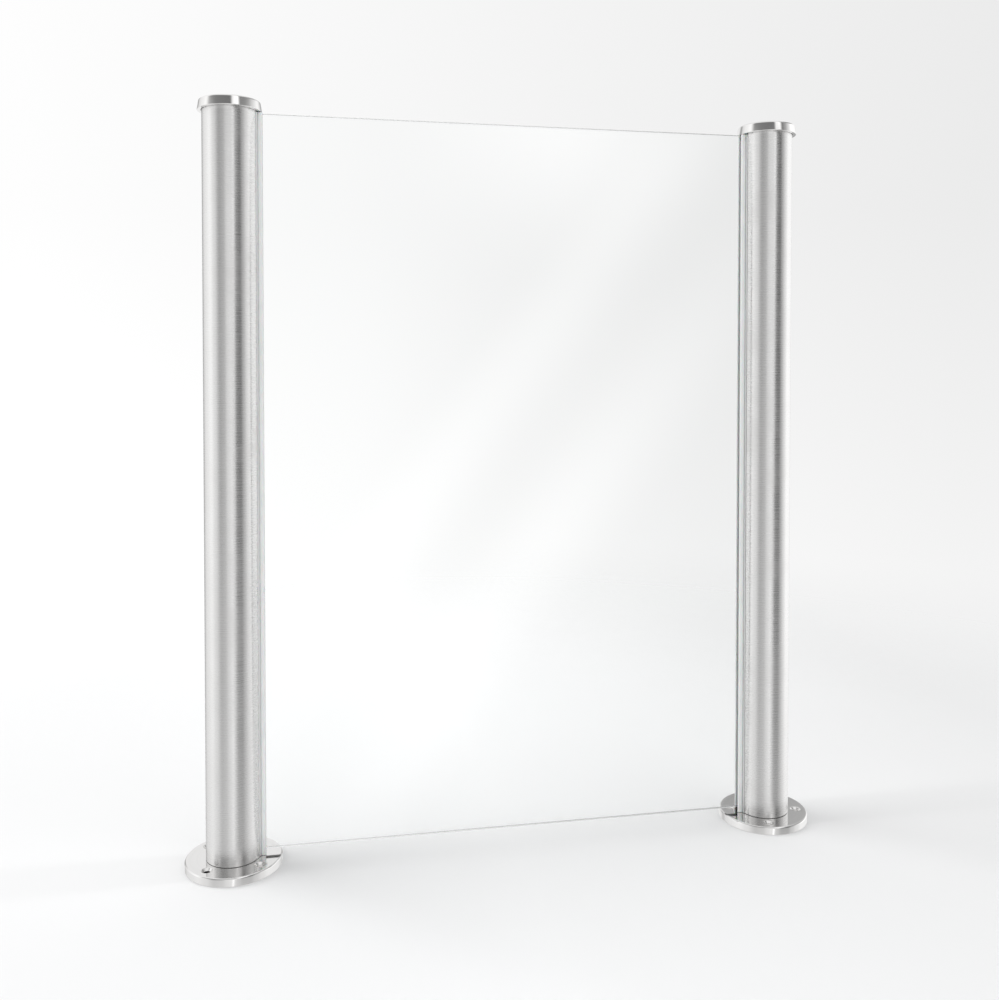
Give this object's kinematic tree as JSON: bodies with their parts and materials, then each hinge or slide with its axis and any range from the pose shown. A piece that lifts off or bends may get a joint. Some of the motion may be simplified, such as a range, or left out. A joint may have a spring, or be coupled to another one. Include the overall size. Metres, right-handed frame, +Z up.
{
  "type": "sneeze guard",
  "caption": "Counter-top sneeze guard: a clear upright glass pane held in slotted round steel posts, with round screw-down base flanges and overhanging lift-off caps.",
  "frame": {"origin": "on the counter, midway between the posts' axes, at the underside of the base flanges", "axes": "+X along the glass from the left post to the right one, as the customer sees them; the customer stands on -Y; +Z up"},
  "size_m": [0.621, 0.089, 0.7112],
  "materials": {
    "satin_stainless": "satin, fine grain along the tube",
    "polished_stainless": "polished, faint turning lines",
    "turned_steel": "as turned",
    "zinc_steel": "bright zinc",
    "channel_aluminium": "mill",
    "gasket_vinyl": "pale translucent vinyl",
    "neoprene": "matt",
    "nitrile": "semi-matt",
    "clear_glass": "clear float glass, polished edges"
  },
  "bodies": {
    "posts": {"left_post_tube": "satin_stainless", "left_base_flange": "polished_stainless", "left_base_plug": "turned_steel", "left_top_plug": "turned_steel", "left_base_washer": "zinc_steel", "left_base_nut": "zinc_steel", "left_tie_rod": "zinc_steel", "left_top_washer": "zinc_steel", "left_top_nut": "zinc_steel", "left_cap_grip_strip": "nitrile", "left_glazing_channel": "channel_aluminium", "left_gasket_front": "gasket_vinyl", "left_gasket_rear": "gasket_vinyl", "left_setting_block": "neoprene", "right_post_tube": "satin_stainless", "right_base_flange": "polished_stainless", "right_base_plug": "turned_steel", "right_top_plug": "turned_steel", "right_base_washer": "zinc_steel", "right_base_nut": "zinc_steel", "right_tie_rod": "zinc_steel", "right_top_washer": "zinc_steel", "right_top_nut": "zinc_steel", "right_cap_grip_strip": "nitrile", "right_glazing_channel": "channel_aluminium", "right_gasket_front": "gasket_vinyl", "right_gasket_rear": "gasket_vinyl", "right_setting_block": "neoprene"},
    "glass": {"glass_pane": "clear_glass"},
    "left_cap": {"left_cap": "polished_stainless"},
    "right_cap": {"right_cap": "polished_stainless"}
  },
  "joints": [
    {"name": "glass_lift", "type": "slide", "parent": "posts", "child": "glass", "axis": [0, 0, 1], "range_m": [0, 0.7]},
    {"name": "left_cap_lift", "type": "slide", "parent": "posts", "child": "left_cap", "axis": [0, 0, 1], "range_m": [0, 0.78]},
    {"name": "right_cap_lift", "type": "slide", "parent": "posts", "child": "right_cap", "axis": [0, 0, 1], "range_m": [0, 0.78]}
  ],
  "couplings": [
    {"joint": "left_cap_lift", "follows": "glass_lift", "ratio": 1.1},
    {"joint": "right_cap_lift", "follows": "glass_lift", "ratio": 1.1}
  ]
}
